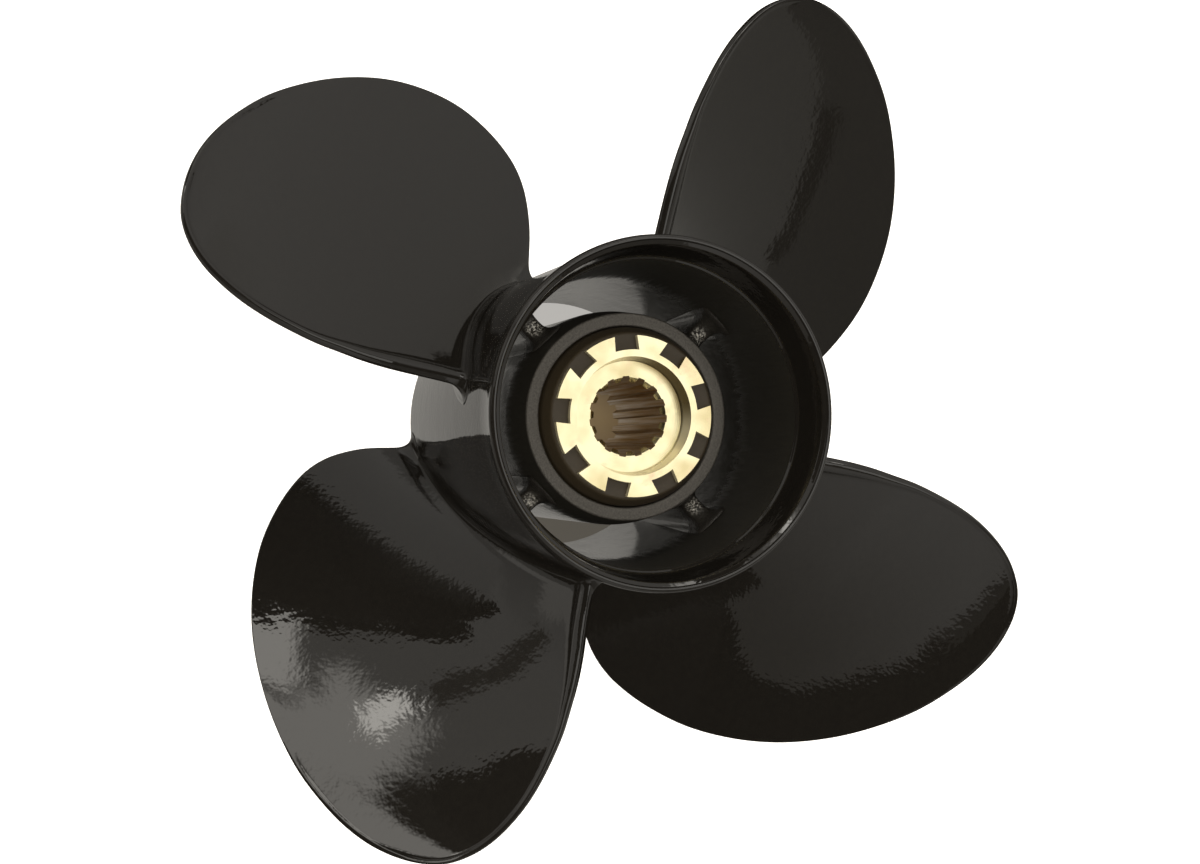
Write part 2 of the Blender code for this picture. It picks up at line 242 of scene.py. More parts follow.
level = add_node(tree, "ShaderNodeSeparateXYZ", links={0: direction}).outputs["Z"]
above = add_node(tree, "ShaderNodeMapRange", {"From Min": -0.5, "From Max": 0.5}, {"Value": level})
walls = add_node(
    tree,
    "ShaderNodeMix",
    {"data_type": "RGBA", 6: linear(TABLE_TONE), 7: linear(MIRRORED_WALL)},
    {0: above.outputs[0]},
)
ceiling_side = 2 * (90.0 - CEILING_HEIGHT)
room = hang(
    walls.outputs[2], 0.0, 90.0, ceiling_side, ceiling_side, 0.0, 1.0, linear(CEILING_COLOUR)
)
for *where, colour, times in ROOM:
    room = hang(room, *where, linear(colour, times))
rays = add_node(tree, "ShaderNodeLightPath").outputs
lit_by = add_node(
    tree,
    "ShaderNodeMix",
    {"data_type": "RGBA", 7: linear(STRAY_LIGHT)},
    {0: rays["Is Diffuse Ray"], 6: room},
)
seen = add_node(
    tree,
    "ShaderNodeMix",
    {"data_type": "RGBA", 7: linear(WALL_COLOUR)},
    {0: rays["Is Camera Ray"], 6: lit_by.outputs[2]},
)
tree.links.new(seen.outputs[2], tree.nodes["Background"].inputs["Color"])


def soft_lamp(name, place, aim, side, watts, colour):
    """A square soft lamp, turned towards a point and unseen by the camera."""
    data = bpy.data.lights.new(name, "AREA")
    data.shape = "RECTANGLE"
    data.size = data.size_y = side
    data.energy = watts
    data.color = colour
    lamp = bpy.data.objects.new(name, data)
    bpy.context.scene.collection.objects.link(lamp)
    lamp.location = place
    lamp.rotation_euler = (Vector(aim) - Vector(place)).to_track_quat("-Z", "Y").to_euler()
    lamp.visible_camera = False
    return lamp


overhead = soft_lamp(
    "lamp_overhead",
    place=(-0.22, 0.31, 1.4),
    aim=(0.0, 0.0, 0.12),
    side=0.9,
    watts=5.0,
    colour=(1.0, 0.98, 0.93),
)
# Light thrown back by everything round the camera: it fills the hub and leaves no shadow.
fill = soft_lamp(
    "lamp_fill",
    place=(0.35, -0.4, 1.6),
    aim=(0.0, 0.0, 0.1),
    side=1.6,
    watts=36.0,
    colour=(1.0, 0.97, 0.9),
)
fill.data.use_shadow = False
fill.visible_glossy = False


# Hub barrel and flared rim: one aluminium casting, a long tube whose aft end opens to a rolled
# lip, with fine steps turned inside it. Cast, ground smooth and sprayed with black enamel.
BARREL_RADIUS = 57.6
BARREL_PROFILE = (
    # radius, height, rounding of the corner, all in mm
    (57.6, 0.0, 2.4),
    (57.6, 140.5, 9.0),
    (59.1, 153.2, 0.5),
    (58.75, 154.6, 0.4),
    (58.0, 155.3, 0.2),
    (57.3, 155.3, 0.15),
    (56.95, 154.7, 0.15),
    (55.6, 153.8, 0.3),
    (55.05, 150.0, 0.6),
    (54.4, 145.0, 0.6),
    (53.4, 138.4, 0.4),
    (52.4, 137.7, 0.3),
    (49.2, 0.0, 1.8),
)
TURNED_STEPS = 192
ROUNDING_STEPS = 6
SHARP_TURN = 32.0
# The core shaped the bore out to this radius and up to this height.
CORE_RADIUS, CORE_END = 52.0, 137.4
# Roughness of the enamel there and of the dry spray near the mouth. Between these heights one
# turns into the other, in a line as ragged as this.
CORE_ROUGHNESS, DRY_ROUGHNESS = 0.16, 0.55
DRY_FROM, DRY_TO = 84.0, 96.0
DRY_RAGGED = 24.0


def select_ring(piece, radius, height):
    """Selects the edges of one ring of a turned piece that is in edit mode."""
    bpy.ops.mesh.select_all(action="DESELECT")
    work = bmesh.from_edit_mesh(piece.data)
    on_ring = set()
    for vert in work.verts:
        off_radius = abs(math.hypot(vert.co.x, vert.co.y) - radius * MM)
        if abs(vert.co.z - height * MM) < 1e-6 and off_radius < 1e-6:
            on_ring.add(vert.index)
    for edge in work.edges:
        edge.select_set(edge.verts[0].index in on_ring and edge.verts[1].index in on_ring)
    bmesh.update_edit_mesh(piece.data)


def turned(name, profile, steps=TURNED_STEPS):
    """A ring of this closed profile: a circle extruded corner by corner, bridged and rounded."""
    radius, height, _ = profile[0]
    bpy.ops.mesh.primitive_circle_add(vertices=steps, radius=radius * MM, location=(0.0, 0.0, 0.0))
    piece = bpy.context.object
    piece.name = piece.data.name = name
    piece.data.transform(Matrix.Translation((0.0, 0.0, height * MM)))
    bpy.ops.object.mode_set(mode="EDIT")
    bpy.ops.mesh.select_all(action="SELECT")
    for wider, higher, _ in profile[1:]:
        climb = (0.0, 0.0, (higher - height) * MM)
        bpy.ops.mesh.extrude_region_move(TRANSFORM_OT_translate={"value": climb})
        growth = (wider / radius, wider / radius, 1.0)
        bpy.ops.transform.resize(value=growth, center_override=(0.0, 0.0, 0.0))
        radius, height = wider, higher
    bpy.ops.mesh.select_mode(type="EDGE")
    bpy.ops.mesh.select_all(action="DESELECT")
    bpy.ops.mesh.select_non_manifold()
    bpy.ops.mesh.bridge_edge_loops()
    for radius, height, rounding in profile:
        select_ring(piece, radius, height)
        bpy.ops.mesh.bevel(
            offset=rounding * MM,
            segments=ROUNDING_STEPS,
            profile=0.5,
            affect="EDGES",
            clamp_overlap=True,
        )
    bpy.ops.mesh.select_all(action="SELECT")
    bpy.ops.mesh.normals_make_consistent(inside=False)
    bpy.ops.object.mode_set(mode="OBJECT")
    bpy.ops.object.shade_smooth_by_angle(angle=math.radians(SHARP_TURN))
    return piece


def stretched_noise(tree, sizes, detail):
    """Noise whose grains have these sizes in mm along the three axes."""
    place = add_node(tree, "ShaderNodeTexCoord").outputs["Object"]
    scale = tuple(1 / (size * MM) for size in sizes)
    scaled = add_node(tree, "ShaderNodeMapping", {"Scale": scale}, {"Vector": place}).outputs[0]
    noise = add_node(tree, "ShaderNodeTexNoise", {"Scale": 1.0, "Detail": detail}, {"Vector": scaled})
    return noise.outputs["Fac"]


def enamel_over(name, low, high, roughness, bumps):
    """Enamel over bumps, each with its sizes along the three axes, its height and its detail."""
    made, tree, shader = new_material(name, {"Roughness": roughness, "IOR": 1.45})
    normal = None
    for sizes, depth, detail in bumps:
        noise = stretched_noise(tree, sizes, detail)
        bump = add_node(
            tree, "ShaderNodeBump", {"Strength": 1.0, "Distance": depth * MM}, {"Height": noise}
        )
        if normal:
            tree.links.new(normal, bump.inputs["Normal"])
        normal = bump.outputs["Normal"]
    tone = add_node(
        tree, "ShaderNodeMix", {"data_type": "RGBA", 6: linear(low), 7: linear(high)}, {0: noise}
    )
    tree.links.new(tone.outputs[2], shader.inputs["Base Color"])
    tree.links.new(normal, shader.inputs["Normal"])
    return made, tree, shader


# Gloss enamel over cast aluminium: near black with a warm cast, mirror-like, and slightly uneven
# under the gloss, from the ground casting (waves of 18 mm) and the spray (orange peel of 2 mm).
enamel, _, _ = enamel_over(
    "gloss_black_enamel",
    "#13110f",
    "#181613",
    0.04,
    (((18.0, 18.0, 18.0), 0.12, 2.0), ((2.0, 2.0, 2.0), 0.04, 1.0)),
)
# The same enamel on the unground walls of the passages: thinner, duller, with streaks along the
# draft of the core, which pulls out lengthwise. Towards the mouth the spray was dry when it
# landed, so the gloss ends there in a ragged line.
streaked_enamel, tree, shader = enamel_over(
    "enamel_over_core_marks",
    "#1c1a17",
    "#26241f",
    CORE_ROUGHNESS,
    (((6.0, 6.0, 14.0), 0.25, 2.0), ((1.0, 1.0, 12.0), 0.10, 3.0)),
)
place = add_node(tree, "ShaderNodeTexCoord").outputs["Object"]
level = add_node(tree, "ShaderNodeSeparateXYZ", links={0: place}).outputs["Z"]
ragged = stretched_noise(tree, (1.5, 1.5, 30.0), 2.0)
shifted = add_node(
    tree, "ShaderNodeMath", {"operation": "MULTIPLY_ADD", 1: DRY_RAGGED * MM}, {0: ragged, 2: level}
)
dryness = add_node(
    tree,
    "ShaderNodeMapRange",
    {
        "From Min": (DRY_FROM + DRY_RAGGED / 2) * MM,
        "From Max": (DRY_TO + DRY_RAGGED / 2) * MM,
        "To Min": CORE_ROUGHNESS,
        "To Max": DRY_ROUGHNESS,
    },
    {"Value": shifted.outputs[0]},
)
tree.links.new(dryness.outputs[0], shader.inputs["Roughness"])

barrel = turned("barrel_and_rim", BARREL_PROFILE)
barrel.data.materials.append(enamel)
barrel.data.materials.append(streaked_enamel)
for face in barrel.data.polygons:
    radius = math.hypot(face.center.x, face.center.y)
    if radius < CORE_RADIUS * MM and face.center.z < CORE_END * MM:
        face.material_index = 1
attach(barrel, "root")
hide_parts("hub_barrel", "flared_rim")


# Blades: four alike, cast with the barrel. The aft face is flat across and twists along the blade,
# the front face swells, the trailing edge is blunt and turned up in a narrow cup, and a fillet
# joins the blade to the barrel all round.
BLADE_COUNT = 4
TIP_RADIUS = 171.45
BLADE_STATIONS = (
    # radius in mm, leading edge of the aft face (degrees from the tip, height in mm), trailing
    # edge (degrees, height), greatest thickness
    (171.45, 0.0, 100.6, 0.0, 100.6, 2.2),
    (169.3, -6.2, 91.5, 5.2, 108.3, 2.8),
    (166.3, -10.5, 85.2, 7.9, 110.9, 3.2),
    (161.2, -15.6, 77.7, 10.3, 112.5, 3.6),
    (154.3, -21.5, 68.9, 12.4, 114.0, 4.0),
    (145.7, -27.9, 58.5, 14.2, 115.4, 4.4),
    (137.2, -33.2, 49.3, 15.6, 116.2, 4.9),
    (128.6, -37.9, 41.0, 16.7, 116.4, 5.4),
    (120.0, -41.8, 33.6, 17.6, 116.3, 5.9),
    (111.4, -45.3, 26.9, 18.4, 115.8, 6.5),
    (102.9, -48.2, 21.1, 18.9, 114.8, 7.1),
    (94.3, -50.1, 16.4, 19.4, 113.6, 7.7),
    (85.7, -51.0, 12.8, 19.6, 112.1, 8.3),
    (77.2, -51.2, 9.8, 19.5, 110.3, 8.9),
    (68.6, -50.5, 7.5, 19.3, 109.0, 9.6),
    (62.0, -49.4, 5.9, 19.2, 108.3, 10.2),
    (54.0, -45.8, 3.4, 19.4, 108.5, 10.8),
)
# Thickness of both edges and the rounding of their corners.
LEADING_EDGE, TRAILING_EDGE = 1.8, 3.0
EDGE_ROUNDING = 0.9
FRONT_FULLNESS = 0.8
# The cup: its crest and foot, measured in from the trailing edge, and its height. A bevel drops
# from inside the crest to the edge. Outwards from the first radius to the second, the cup narrows.
CUP_CREST, CUP_FOOT = 3.7, 7.2
CUP_HEIGHT = 0.95
CUP_BEVEL, BEVEL_DROP = 1.8, 0.45
CUP_WIDE_RADIUS, CUP_NARROW_RADIUS = 75.0, 120.0
CUP_NARROWING = 0.6
CUP_FADE_FROM, CUP_FADE_TO = 161.0, 168.5
# The cove along the root: its height where the fillet starts, the rounding and the blend of the
# corner where it leaves the cup, and how far it draws back near the leading edge.
COVE_RISE = 0.78
CORNER_ROUNDING, CORNER_BLEND = 3.0, 6.0
COVE_DRAWN_BACK, COVE_END_SHARE = 9.0, 0.16
# The root fillet on both faces, its other radii at the two edges, and how far in those reach.
AFT_FILLET, FRONT_FILLET = 2.6, 7.0
LEADING_FILLET, AFT_TRAILING_FILLET, FRONT_TRAILING_FILLET = 8.0, 3.0, 6.0
LEADING_FILLET_SHARE, TRAILING_FILLET_SHARE = 0.15, 0.12
# How deep the fillet's foot and the root's end lie in the barrel, and the lowest they may lie.
FOOT_DEPTH, ROOT_DEPTH = 0.01, 2.5
LOWEST_FOOT = 1.6
# The mesh: places across the chord from each edge, and steps between them and along the blade.
EDGE_PLACES = (
    *(0.0, 0.07, 0.26, 0.55, 0.9, 1.6, 2.4, 3.1, 3.7, 4.3),
    *(4.9, 5.5, 6.1, 6.7, 7.3, 7.9, 8.5, 9.2, 10.5),
)
SHORT_CHORD = 30.0
MIDDLE_STEPS = 26
SPAN_STEPS = 96
ROOT_STEPS = 22
ROOT_REACH = 9.5
FILLET_STEPS = 9
EDGE_POINTS = 700
SEAM_WIDTH = 0.004


def reach_of(radius):
    """Distance from the tip as a value along which the blade's outline is evenly curved."""
    return math.sqrt(max(0.0, 1.0 - radius / TIP_RADIUS))


knots = [reach_of(station[0]) for station in BLADE_STATIONS]


def station_at(radius):
    """Edges and thickness at a radius, on a smooth curve through the stations."""
    reach = min(max(reach_of(radius), knots[0]), knots[-1])
    upper = next(i for i in range(1, len(knots)) if reach <= knots[i])
    lower = upper - 1
    step = knots[upper] - knots[lower]
    share = (reach - knots[lower]) / step

    def slope(i, column):
        before, after = max(i - 1, 0), min(i + 1, len(knots) - 1)
        rise = BLADE_STATIONS[after][column] - BLADE_STATIONS[before][column]
        return rise / (knots[after] - knots[before])

    found = []
    for column in range(1, 6):
        start, end = BLADE_STATIONS[lower][column], BLADE_STATIONS[upper][column]
        leave, arrive = slope(lower, column) * step, slope(upper, column) * step
        found.append(
            (2 * share**3 - 3 * share**2 + 1) * start
            + (share**3 - 2 * share**2 + share) * leave
            + (3 * share**2 - 2 * share**3) * end
            + (share**3 - share**2) * arrive
        )
    return found


def on_blade(radius, along, lift):
    """The point that lies this far along the chord from the leading edge, above the aft face."""
    lead_angle, lead_height, trail_angle, trail_height, _ = station_at(radius)
    run = radius * math.radians(trail_angle - lead_angle)
    rise = trail_height - lead_height
    pitch = math.atan2(rise, run)
    arc = radius * math.radians(lead_angle) + along * math.cos(pitch) - lift * math.sin(pitch)
    height = lead_height + along * math.sin(pitch) + lift * math.cos(pitch)
    return Vector((radius * math.cos(arc / radius), radius * math.sin(arc / radius), height))


def chord_at(radius):
    """Length of the blade's section from edge to edge."""
    lead_angle, lead_height, trail_angle, trail_height, _ = station_at(radius)
    run = radius * math.radians(trail_angle - lead_angle)
    return math.hypot(run, trail_height - lead_height)


def smooth_step(value):
    """0 to 1 with soft ends."""
    value = min(max(value, 0.0), 1.0)
    return value * value * (3.0 - 2.0 * value)


# The cup follows the trailing edge, goes round the tip and fades out on the leading edge. At the
# root it turns a rounded corner and becomes a wide cove that climbs into the fillet.
cupped_edge = []
for i in range(EDGE_POINTS):
    radius = TIP_RADIUS * (1.0 - (i / EDGE_POINTS * reach_of(BARREL_RADIUS)) ** 2)
    cupped_edge.append((on_blade(radius, chord_at(radius), 0.0), 1.0))
    if radius > CUP_FADE_FROM:
        kept = smooth_step((radius - CUP_FADE_FROM) / (CUP_FADE_TO - CUP_FADE_FROM))
        cupped_edge.append((on_blade(radius, 0.0, 0.0), kept))
edge_tree = KDTree(len(cupped_edge))
for i, (point, _) in enumerate(cupped_edge):
    edge_tree.insert(point, i)
edge_tree.balance()


def cup_size(radius):
    """Size of the cup as a share of its size at the root."""
    outward = (radius - CUP_WIDE_RADIUS) / (CUP_NARROW_RADIUS - CUP_WIDE_RADIUS)
    return 1.0 - CUP_NARROWING * smooth_step(outward)


def cup_lift(radius, along, chord):
    """Height of the cup and of the cove at the root above the flat aft face."""
    _, nearest, from_edge = edge_tree.find(on_blade(radius, along, 0.0))
    kept = cupped_edge[nearest][1]
    size = cup_size(radius)
    from_edge /= size
    share = along / chord if chord > 0 else 1.0
    drawn_back = COVE_DRAWN_BACK * (1.0 - smooth_step(share / COVE_END_SHARE))
    from_root = radius - BARREL_RADIUS - AFT_FILLET + CUP_CREST + drawn_back
    near = max(CORNER_ROUNDING - abs(from_edge - from_root), 0.0) / CORNER_ROUNDING
    inset = min(from_edge, from_root) - near * near * CORNER_ROUNDING / 4
    in_cup = smooth_step(0.5 + (from_root - from_edge) / CORNER_BLEND)
    height = COVE_RISE + in_cup * (CUP_HEIGHT * size * kept - COVE_RISE)
    climb = max(0.0, (CUP_FOOT - inset) / (CUP_FOOT - CUP_CREST))
    rise = climb**2 if climb < 1.0 else 1.0 + 2.0 * (climb - 1.0) * (1.0 - in_cup)
    bevel = in_cup * BEVEL_DROP * size * max(0.0, CUP_BEVEL - from_edge) * kept
    return rise * height - bevel


def chord_places(chord, size=1.0):
    """Distances along the chord, close together at both edges and closer on a small cup."""
    shrink = min(1.0, chord / SHORT_CHORD)
    edge = []
    for place in EDGE_PLACES:
        past_rounding = size * max(0.0, place - EDGE_ROUNDING)
        edge.append(shrink * (min(place, EDGE_ROUNDING) + past_rounding))
    gap = (chord - 2 * edge[-1]) / MIDDLE_STEPS
    middle = [edge[-1] + gap * i for i in range(1, MIDDLE_STEPS)]
    return edge + middle + [chord - place for place in reversed(edge)]


def lift_at(radius, along, chord, aft):
    """Height of the aft or of the front face above the flat aft face."""
    thickest = station_at(radius)[4]
    share = along / chord if chord > 0 else 0.5
    edge = LEADING_EDGE + share * (TRAILING_EDGE - LEADING_EDGE)
    edge = min(edge, thickest)
    fullness = (4.0 * share * (1.0 - share)) ** FRONT_FULLNESS
    thick = edge + (thickest - edge) * fullness
    inset = min(along, chord - along)
    rounding = min(EDGE_ROUNDING, chord / 2, thick / 2)
    cut = 0.0
    if inset < rounding:
        cut = rounding - math.sqrt(rounding**2 - (rounding - inset) ** 2)
    return cup_lift(radius, along, chord) - cut if aft else cut - thick


def fillet_at(share, aft):
    """Radius of the root fillet at a share of the chord, on the aft or on the front face."""
    middle = AFT_FILLET if aft else FRONT_FILLET
    trailing = AFT_TRAILING_FILLET if aft else FRONT_TRAILING_FILLET
    if share < 0.5:
        inward = smooth_step(share / LEADING_FILLET_SHARE)
        return LEADING_FILLET + (middle - LEADING_FILLET) * inward
    inward = smooth_step((1.0 - share) / TRAILING_FILLET_SHARE)
    return trailing + (middle - trailing) * inward


def blade_column(number, aft):
    """Places on the blade from its tip to its root, at one place across the chord."""
    share = chord_places(100.0)[number] / 100.0
    inner = BARREL_RADIUS + fillet_at(share, aft)
    reach = reach_of(inner + ROOT_REACH)
    steps = [step / SPAN_STEPS * reach for step in range(SPAN_STEPS + 1)]
    radii = [TIP_RADIUS * (1.0 - step**2) for step in steps]
    radii += [inner + ROOT_REACH * (1.0 - step / ROOT_STEPS) for step in range(1, ROOT_STEPS + 1)]
    column = []
    for radius in radii:
        chord = chord_at(radius)
        along = chord_places(chord, cup_size(radius))[number] if chord > 0 else 0.0
        column.append((radius, along, lift_at(radius, along, chord, aft)))
    return column


def raised_foot(point):
    """Keeps the foot of the blade clear of the barrel's front edge."""
    point.z = max(point.z, LOWEST_FOOT)
    return point


# Rows of points run round the blade's section, over its aft face and back under its front face.
# They go from the tip to the root, then round the fillet, and end inside the barrel's wall.
places_count = len(chord_places(100.0))
order = [(number, True) for number in range(places_count)]
order += [(number, False) for number in reversed(range(places_count))]
columns = [blade_column(number, aft) for number, aft in order]
rows = []
for step in range(SPAN_STEPS + ROOT_STEPS + 1):
    rows.append([on_blade(*column[step]) for column in columns])
for step in range(1, FILLET_STEPS + 1):
    turn = math.radians(90.0 * step / FILLET_STEPS)
    row = []
    for number, aft in order:
        fillet = fillet_at(chord_places(100.0)[number] / 100.0, aft)
        radius = BARREL_RADIUS + fillet * (1.0 - math.sin(turn)) - FOOT_DEPTH
        chord = chord_at(radius)
        places = chord_places(chord)
        before, after = places[max(number - 1, 0)], places[min(number + 1, places_count - 1)]
        run = after - before
        rise = lift_at(radius, after, chord, aft) - lift_at(radius, before, chord, aft)
        outward = (1.0 if aft else -1.0) / math.hypot(run, rise)
        spread = fillet * (1.0 - math.cos(turn))
        along = places[number] - rise * outward * spread
        lift = lift_at(radius, places[number], chord, aft) + run * outward * spread
        row.append(raised_foot(on_blade(radius, along, lift)))
    rows.append(row)
row = []
radius = BARREL_RADIUS - ROOT_DEPTH
chord = chord_at(radius)
for number, aft in order:
    along = chord_places(chord)[number]
    lift = (lift_at(radius, along, chord, True) + lift_at(radius, along, chord, False)) / 2
    row.append(raised_foot(on_blade(radius, along, lift)))
rows.append(row)

bpy.ops.mesh.primitive_grid_add(x_subdivisions=len(order), y_subdivisions=len(rows) - 1, size=0.2)
first_blade = bpy.context.object
first_blade.name = first_blade.data.name = "painted_blade_1"
for vert in first_blade.data.vertices:
    row_number, number = divmod(vert.index, len(order) + 1)
    vert.co = rows[row_number][number % len(order)] * MM
bpy.ops.object.mode_set(mode="EDIT")
bpy.ops.mesh.select_all(action="SELECT")
bpy.ops.mesh.remove_doubles(threshold=SEAM_WIDTH * MM)
bpy.ops.mesh.dissolve_degenerate(threshold=SEAM_WIDTH * MM)
bpy.ops.mesh.normals_make_consistent(inside=False)
bpy.ops.object.mode_set(mode="OBJECT")
bpy.ops.object.shade_smooth()
first_blade.data.materials.append(enamel)


def own_copy(first, name):
    piece = first.copy()
    piece.data = first.data.copy()
    piece.name = piece.data.name = name
    bpy.context.scene.collection.objects.link(piece)
    return piece


def set_round(pieces, first_angle):
    """Turns pieces that lie in one place to their places around the shaft."""
    for i, piece in enumerate(pieces):
        turn = math.radians(first_angle + 360.0 / len(pieces) * i)
        piece.data.transform(Matrix.Rotation(turn, 4, "Z"))


blades = []
for number in range(1, BLADE_COUNT + 1):
    blade = own_copy(first_blade, f"painted_blade_{number}") if blades else first_blade
    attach(blade, "root")
    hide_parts(f"blade_{number}")
    blades.append(blade)
set_round(blades, 0.0)


# Inner hub: the thick tube in the middle of the same casting. Its outside is painted, and its aft
# face is turned flat and left as a satin grey ring with a fine chamfer at the bore.
INNER_HUB_PROFILE = (
    (36.5, 110.6, 0.6),
    (38.6, 92.0, 4.0),
    (38.6, 9.0, 1.2),
    (31.9, 9.0, 0.8),
    (31.9, 110.6, 0.6),
)
# What the lathe has turned: all above this height, and the bore of this radius down to the other.
TURNED_FROM = 110.2
TURNED_BORE, TURNED_BORE_FROM = 32.0, 100.0


def mottled(name, settings, low, high, size, detail, bump=None):
    """A finish of two tones in patches of a size in mm, raised by a strength and a height."""
    made, tree, shader = new_material(name, settings)
    place = add_node(tree, "ShaderNodeTexCoord").outputs["Object"]
    patches = add_node(
        tree, "ShaderNodeTexNoise", {"Scale": 1 / (size * MM), "Detail": detail}, {"Vector": place}
    ).outputs["Fac"]
    tone = add_node(
        tree, "ShaderNodeMix", {"data_type": "RGBA", 6: linear(low), 7: linear(high)}, {0: patches}
    )
    tree.links.new(tone.outputs[2], shader.inputs["Base Color"])
    if bump:
        strength, depth = bump
        raised = add_node(
            tree, "ShaderNodeBump", {"Strength": strength, "Distance": depth * MM}, {"Height": patches}
        )
        tree.links.new(raised.outputs["Normal"], shader.inputs["Normal"])
    return made


# Turned aluminium under a thin film of paint: dark satin grey, with the fine grit of the tool.
satin = mottled(
    "satin_turned_aluminium",
    {"Roughness": 0.5, "Metallic": 0.6},
    "#24221f",
    "#5d5953",
    size=0.7,
    detail=3.0,
    bump=(1.0, 0.10),
)

inner_hub = turned("inner_hub_casting", INNER_HUB_PROFILE)
inner_hub.data.materials.append(streaked_enamel)
inner_hub.data.materials.append(satin)
for face in inner_hub.data.polygons:
    in_bore = math.hypot(face.center.x, face.center.y) < TURNED_BORE * MM
    turned_from = TURNED_BORE_FROM if in_bore else TURNED_FROM
    if face.center.z > turned_from * MM:
        face.material_index = 1
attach(inner_hub, "root")
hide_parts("inner_hub")


# Ribs: four webs of the casting that carry the inner hub in the barrel. Their aft ends are rounded
# and keep the rough skin of the sand core under the paint.
RIB_COUNT = 4
RIB_FIRST_ANGLE = -15.4
RIB_THICKNESS = 7.0
RIB_FRONT, RIB_AFT = 12.0, 103.0
RIB_LENGTH, RIB_MIDDLE = 13.4, 44.6
RIB_CUTS = 23
# The walls that the fillets run into, and the saddle that dips between them.
INNER_WALL, OUTER_WALL = 38.6, 50.6
RIB_FILLET = 3.5
SADDLE_HALF = 6.0
SADDLE_DEPTH, CROWN_DEPTH = 7.5, 3.2
# Sand grain from this height on, and the painted highlight on the grain tops: its radius and how far it
# spreads beside it.
GRAIN_FROM = 88.0
HIGHLIGHT_RADIUS, HIGHLIGHT_CORE, HIGHLIGHT_EDGE = 43.0, 1.0, 4.6


def across_shaft(tree, place):
    """The part of a place that lies across the shaft, and the distance from the shaft."""
    crosswise = add_node(
        tree, "ShaderNodeVectorMath", {"operation": "MULTIPLY", 1: (1.0, 1.0, 0.0)}, {0: place}
    ).outputs[0]
    distance = add_node(tree, "ShaderNodeVectorMath", {"operation": "LENGTH"}, {0: crosswise})
    return crosswise, distance.outputs["Value"]


# The passages' enamel over sand grain, on the ends of the ribs: rougher still. A painted
# highlight makes the grain tops pale where the rib faces aft and halfway between the walls.
grain_and_highlight_enamel, tree, shader = enamel_over(
    "enamel_over_sand_grain_and_painted_highlight",
    "#1c1a17",
    "#26241f",
    0.42,
    (((2.5, 2.5, 2.5), 0.5, 2.0), ((0.9, 0.9, 0.9), 0.4, 2.0)),
)
coordinates = add_node(tree, "ShaderNodeTexCoord").outputs
_, from_shaft = across_shaft(tree, coordinates["Object"])
upright = add_node(tree, "ShaderNodeSeparateXYZ", links={0: coordinates["Normal"]}).outputs["Z"]
crown = add_node(tree, "ShaderNodeMapRange", {"From Min": 0.55, "From Max": 0.97}, {"Value": upright})
grains = add_node(
    tree,
    "ShaderNodeTexNoise",
    {"Scale": 1 / (0.8 * MM), "Detail": 3.0},
    {"Vector": coordinates["Object"]},
)
tops = add_node(
    tree, "ShaderNodeMapRange", {"From Min": 0.46, "From Max": 0.66}, {"Value": grains.outputs["Fac"]}
)
offset = add_node(
    tree, "ShaderNodeMath", {"operation": "SUBTRACT", 1: HIGHLIGHT_RADIUS * MM}, {0: from_shaft}
)
beside = add_node(tree, "ShaderNodeMath", {"operation": "ABSOLUTE"}, {0: offset.outputs[0]})
between_walls = add_node(
    tree,
    "ShaderNodeMapRange",
    {
        "interpolation_type": "SMOOTHSTEP",
        "From Min": HIGHLIGHT_CORE * MM,
        "From Max": HIGHLIGHT_EDGE * MM,
        "To Min": 1.0,
        "To Max": 0.0,
    },
    {"Value": beside.outputs[0]},
)
painted_highlight = add_node(
    tree, "ShaderNodeMath", {"operation": "MULTIPLY"}, {0: tops.outputs[0], 1: crown.outputs[0]}
)
painted_highlight = add_node(
    tree, "ShaderNodeMath", {"operation": "MULTIPLY"}, {0: painted_highlight.outputs[0], 1: between_walls.outputs[0]}
)
# Painted highlight: pale grey on the grain tops of the crowns that face aft.
highlighted_grain = add_node(
    tree,
    "ShaderNodeMix",
    {"data_type": "RGBA", 6: linear("#1c1a17"), 7: linear("#a09c94")},
    {0: painted_highlight.outputs[0]},
)
tree.links.new(highlighted_grain.outputs[2], shader.inputs["Base Color"])

bpy.ops.mesh.primitive_cube_add(size=1.0, location=(0.0, 0.0, 0.0))
first_rib = bpy.context.object
first_rib.name = first_rib.data.name = "painted_rib_1"
rib_size = (RIB_LENGTH * MM, RIB_THICKNESS * MM, (RIB_AFT - RIB_FRONT) * MM, 1.0)
first_rib.data.transform(Matrix.Diagonal(rib_size))
rib_centre = (RIB_MIDDLE * MM, 0.0, (RIB_AFT + RIB_FRONT) / 2 * MM)
first_rib.data.transform(Matrix.Translation(rib_centre))
bpy.ops.object.mode_set(mode="EDIT")
bpy.ops.mesh.select_all(action="SELECT")
bpy.ops.mesh.subdivide(number_cuts=RIB_CUTS)
bpy.ops.object.mode_set(mode="OBJECT")
for vert in first_rib.data.vertices:
    x, y, z = vert.co / MM
    half = RIB_THICKNESS / 2
    for gap in (x - INNER_WALL, OUTER_WALL - x):
        if gap < RIB_FILLET:
            inside = RIB_FILLET - max(gap, 0.0)
            half += RIB_FILLET - math.sqrt(max(0.0, RIB_FILLET**2 - inside**2))
    sideways = y / (RIB_THICKNESS / 2)
    along = (x - RIB_MIDDLE) / SADDLE_HALF
    saddle = SADDLE_DEPTH * math.sqrt(max(0.0, 1.0 - along**2))
    rounded = CROWN_DEPTH * (1.0 - math.sqrt(max(0.0, 1.0 - sideways**2)))
    share = (z - RIB_FRONT) / (RIB_AFT - RIB_FRONT)
    vert.co = Vector((x, sideways * half, z - share**4 * (saddle + rounded))) * MM
bpy.ops.object.shade_smooth()
first_rib.data.materials.append(streaked_enamel)
first_rib.data.materials.append(grain_and_highlight_enamel)
for face in first_rib.data.polygons:
    if face.center.z > GRAIN_FROM * MM:
        face.material_index = 1
ribs = []
for number in range(1, RIB_COUNT + 1):
    rib = own_copy(first_rib, f"painted_rib_{number}") if ribs else first_rib
    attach(rib, "root")
    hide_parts(f"rib_{number}")
    ribs.append(rib)
set_round(ribs, RIB_FIRST_ANGLE)


